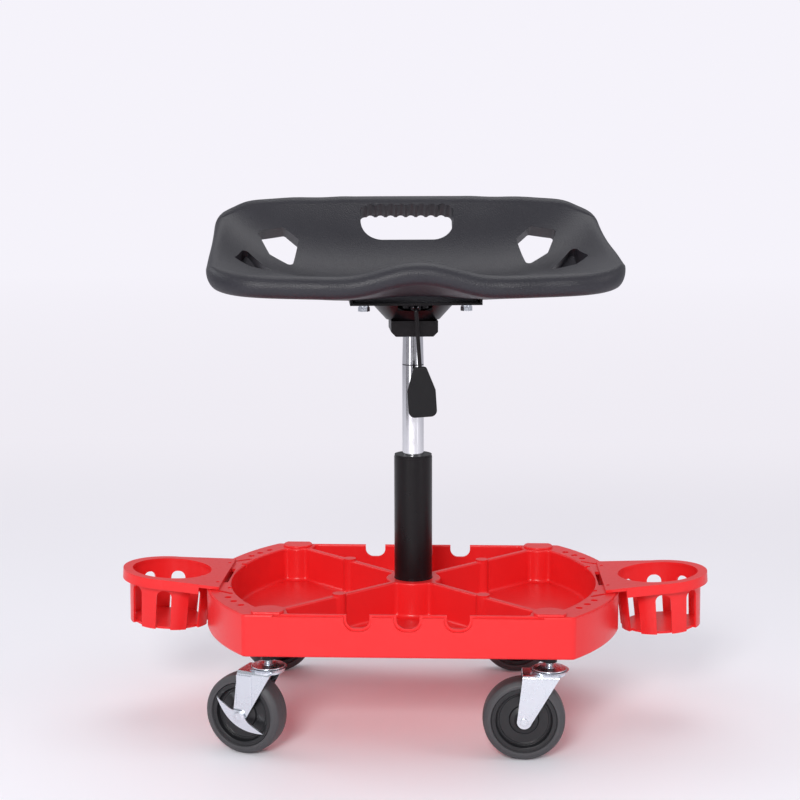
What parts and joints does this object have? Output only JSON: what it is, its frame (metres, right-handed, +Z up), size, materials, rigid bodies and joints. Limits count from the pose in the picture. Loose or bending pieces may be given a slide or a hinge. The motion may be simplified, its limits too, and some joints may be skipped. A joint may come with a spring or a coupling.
{
  "type": "detailing stool",
  "caption": "Rolling work stool with a wide dished seat on a gas lift, a divided tool tray, clip-on cup holders and swivel casters.",
  "frame": {"origin": "on the floor under the axis of the lift column", "axes": "+Z up, +Y towards the seat's raised back, +X towards the sitter's right-hand cup holder, seen from behind"},
  "size_m": [0.7744, 0.401, 0.6804],
  "materials": {
    "red_plastic": "semi-gloss moulded",
    "black_enamel": "gloss enamel",
    "black_plastic": "fine grain",
    "zinc_plate": "bright zinc",
    "ground_steel": "ground",
    "brass_cage": "satin",
    "spring_steel": "oiled",
    "chrome_plate": "polished",
    "brass_insert": "knurled",
    "seat_plastic": "pebble grain",
    "hub_plastic": "moulded",
    "tyre_rubber": "satin rubber"
  },
  "bodies": {
    "base": {"tray": "red_plastic", "corner_caps": "red_plastic", "base_frame": "black_enamel", "column": "black_enamel", "column_bush": "black_plastic", "stem_nuts": "zinc_plate", "stem_washers": "zinc_plate", "bearing_washers": "ground_steel", "bearing_cage": "brass_cage", "race_front_left": "zinc_plate", "balls_front_left": "ground_steel", "race_front_right": "zinc_plate", "balls_front_right": "ground_steel", "race_rear_right": "zinc_plate", "balls_rear_right": "ground_steel", "race_rear_left": "zinc_plate", "balls_rear_left": "ground_steel"},
    "lift_rod": {"lift_rod": "ground_steel", "rod_clip": "spring_steel"},
    "seat": {"gas_cylinder": "chrome_plate", "taper_socket": "black_enamel", "lift_housing": "black_enamel", "mount_dish": "black_enamel", "seat_plate": "black_enamel", "flat_washers": "zinc_plate", "spring_washers": "zinc_plate", "seat_bolts": "zinc_plate", "seat_inserts": "brass_insert", "lever_bracket": "black_enamel", "bracket_screws": "zinc_plate", "lever_pin": "zinc_plate", "seat_shell": "seat_plastic"},
    "lever": {"lever_rod": "black_enamel", "lever_paddle": "black_plastic"},
    "release_pin": {"release_pin": "ground_steel"},
    "fork_front_left": {"fork_front_left": "zinc_plate", "axle_front_left": "zinc_plate"},
    "wheel_front_left": {"hub_front_left": "hub_plastic", "tyre_front_left": "tyre_rubber"},
    "pedal_front_left": {"brake_pedal_front_left": "zinc_plate"},
    "fork_front_right": {"fork_front_right": "zinc_plate", "axle_front_right": "zinc_plate"},
    "wheel_front_right": {"hub_front_right": "hub_plastic", "tyre_front_right": "tyre_rubber"},
    "fork_rear_right": {"fork_rear_right": "zinc_plate", "axle_rear_right": "zinc_plate"},
    "wheel_rear_right": {"hub_rear_right": "hub_plastic", "tyre_rear_right": "tyre_rubber"},
    "pedal_rear_right": {"brake_pedal_rear_right": "zinc_plate"},
    "fork_rear_left": {"fork_rear_left": "zinc_plate", "axle_rear_left": "zinc_plate"},
    "wheel_rear_left": {"hub_rear_left": "hub_plastic", "tyre_rear_left": "tyre_rubber"},
    "cup_holder_left": {"cup_holder_left": "red_plastic"},
    "cup_holder_right": {"cup_holder_right": "red_plastic"}
  },
  "joints": [
    {"name": "seat_swivel", "type": "hinge", "parent": "base", "child": "lift_rod", "pos_m": [0, 0, 0.143], "axis": [0, 0, 1], "continuous": true},
    {"name": "seat_lift", "type": "slide", "parent": "lift_rod", "child": "seat", "axis": [0, 0, 1], "range_m": [-0.115, 0]},
    {"name": "lever_pull", "type": "hinge", "parent": "seat", "child": "lever", "pos_m": [0.00537, -0.05574, 0.5444], "axis": [-0.9954, -0.0958, 0], "range_deg": [0, 4.6]},
    {"name": "pin_press", "type": "slide", "parent": "seat", "child": "release_pin", "axis": [0, 0, -1], "range_m": [0, 0.0045], "stiffness_N_per_m": 200, "springref_m": -0.004},
    {"name": "swivel_front_left", "type": "hinge", "parent": "base", "child": "fork_front_left", "pos_m": [-0.1725, -0.177, 0.109], "axis": [0, 0, 1], "continuous": true},
    {"name": "roll_front_left", "type": "hinge", "parent": "fork_front_left", "child": "wheel_front_left", "pos_m": [-0.20163, -0.1664, 0.0508], "axis": [0.342, 0.9397, 0], "continuous": true},
    {"name": "brake_front_left", "type": "hinge", "parent": "fork_front_left", "child": "pedal_front_left", "pos_m": [-0.20163, -0.1664, 0.0508], "axis": [0.342, 0.9397, 0], "range_deg": [-20, 0]},
    {"name": "swivel_front_right", "type": "hinge", "parent": "base", "child": "fork_front_right", "pos_m": [0.1725, -0.177, 0.109], "axis": [0, 0, 1], "continuous": true},
    {"name": "roll_front_right", "type": "hinge", "parent": "fork_front_right", "child": "wheel_front_right", "pos_m": [0.1415, -0.177, 0.0508], "axis": [0, 1, 0], "continuous": true},
    {"name": "swivel_rear_right", "type": "hinge", "parent": "base", "child": "fork_rear_right", "pos_m": [0.1725, 0.177, 0.109], "axis": [0, 0, 1], "continuous": true},
    {"name": "roll_rear_right", "type": "hinge", "parent": "fork_rear_right", "child": "wheel_rear_right", "pos_m": [0.1415, 0.177, 0.0508], "axis": [0, 1, 0], "continuous": true},
    {"name": "brake_rear_right", "type": "hinge", "parent": "fork_rear_right", "child": "pedal_rear_right", "pos_m": [0.1415, 0.177, 0.0508], "axis": [0, 1, 0], "range_deg": [-20, 0]},
    {"name": "swivel_rear_left", "type": "hinge", "parent": "base", "child": "fork_rear_left", "pos_m": [-0.1725, 0.177, 0.109], "axis": [0, 0, 1], "continuous": true},
    {"name": "roll_rear_left", "type": "hinge", "parent": "fork_rear_left", "child": "wheel_rear_left", "pos_m": [-0.20124, 0.16539, 0.0508], "axis": [-0.3746, 0.9272, 0], "continuous": true},
    {"name": "cup_lift_left", "type": "slide", "parent": "base", "child": "cup_holder_left", "axis": [0, 0, 1], "range_m": [0, 0.04]},
    {"name": "cup_lift_right", "type": "slide", "parent": "base", "child": "cup_holder_right", "axis": [0, 0, 1], "range_m": [0, 0.04]}
  ],
  "couplings": [
    {"joint": "pin_press", "follows": "lever_pull", "m_per_rad": 0.056}
  ]
}
